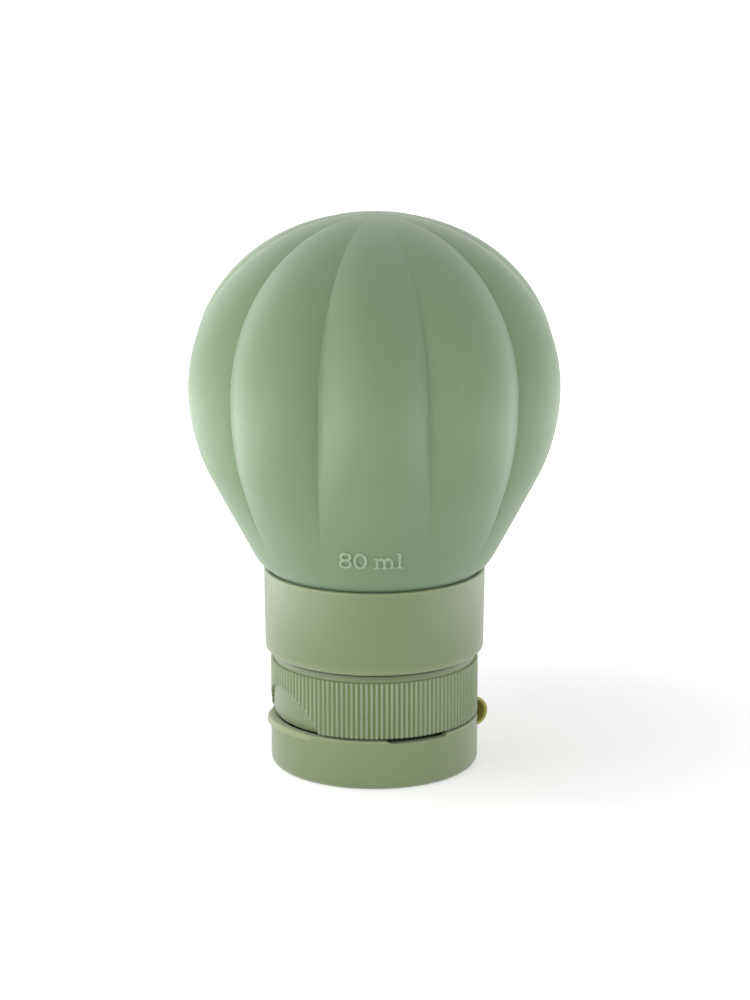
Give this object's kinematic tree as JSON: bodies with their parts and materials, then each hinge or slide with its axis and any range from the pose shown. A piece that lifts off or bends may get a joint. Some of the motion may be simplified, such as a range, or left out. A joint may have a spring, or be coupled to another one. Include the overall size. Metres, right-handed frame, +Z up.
{
  "type": "travel silicone bottle",
  "caption": "Squeezable balloon-shaped silicone travel bottle standing on a flip-top screw cap with a ribbed skirt, thumb scoop and living hinge.",
  "frame": {"origin": "centre of the flip lid's flat outer face, which stands on the table", "axes": "+Z up along the bottle's axis to the crown of the bulb, -Y to the front gore with the capacity mark, +X to its right seen from the front"},
  "size_m": [0.0592, 0.0614, 0.0909],
  "materials": {
    "silicone": "matte soft-touch silicone, sage green",
    "collar_plastic": "satin moulded plastic, sage green",
    "cap_plastic": "satin moulded plastic, sage green",
    "neck_plastic": "satin moulded plastic, natural white",
    "valve_silicone": "translucent soft silicone",
    "seal_foam": "matte soft seal"
  },
  "bodies": {
    "bottle": {"bulb": "silicone", "neck_insert": "neck_plastic", "collar": "collar_plastic"},
    "seal": {"seal_ring": "seal_foam"},
    "cap": {"screw_cap": "cap_plastic", "slit_valve": "valve_silicone", "valve_retainer": "neck_plastic", "hinge_strap": "cap_plastic"},
    "lid": {"flip_lid": "cap_plastic"}
  },
  "joints": [
    {"name": "cap_travel", "type": "slide", "parent": "bottle", "child": "seal", "axis": [0, 0, -1], "range_m": [0, 0.0075]},
    {"name": "cap_spin", "type": "hinge", "parent": "seal", "child": "cap", "pos_m": [0, 0, 0.0118], "axis": [0, 0, -1], "range_deg": [0, 900]},
    {"name": "lid_hinge", "type": "hinge", "parent": "cap", "child": "lid", "pos_m": [0.01552, 0.00741, 0.00847], "axis": [0.4305, -0.9026, 0], "range_deg": [0, 180], "deforming": ["hinge_strap"]}
  ],
  "couplings": [
    {"joint": "cap_travel", "follows": "cap_spin", "m_per_rad": 0.00047746}
  ]
}
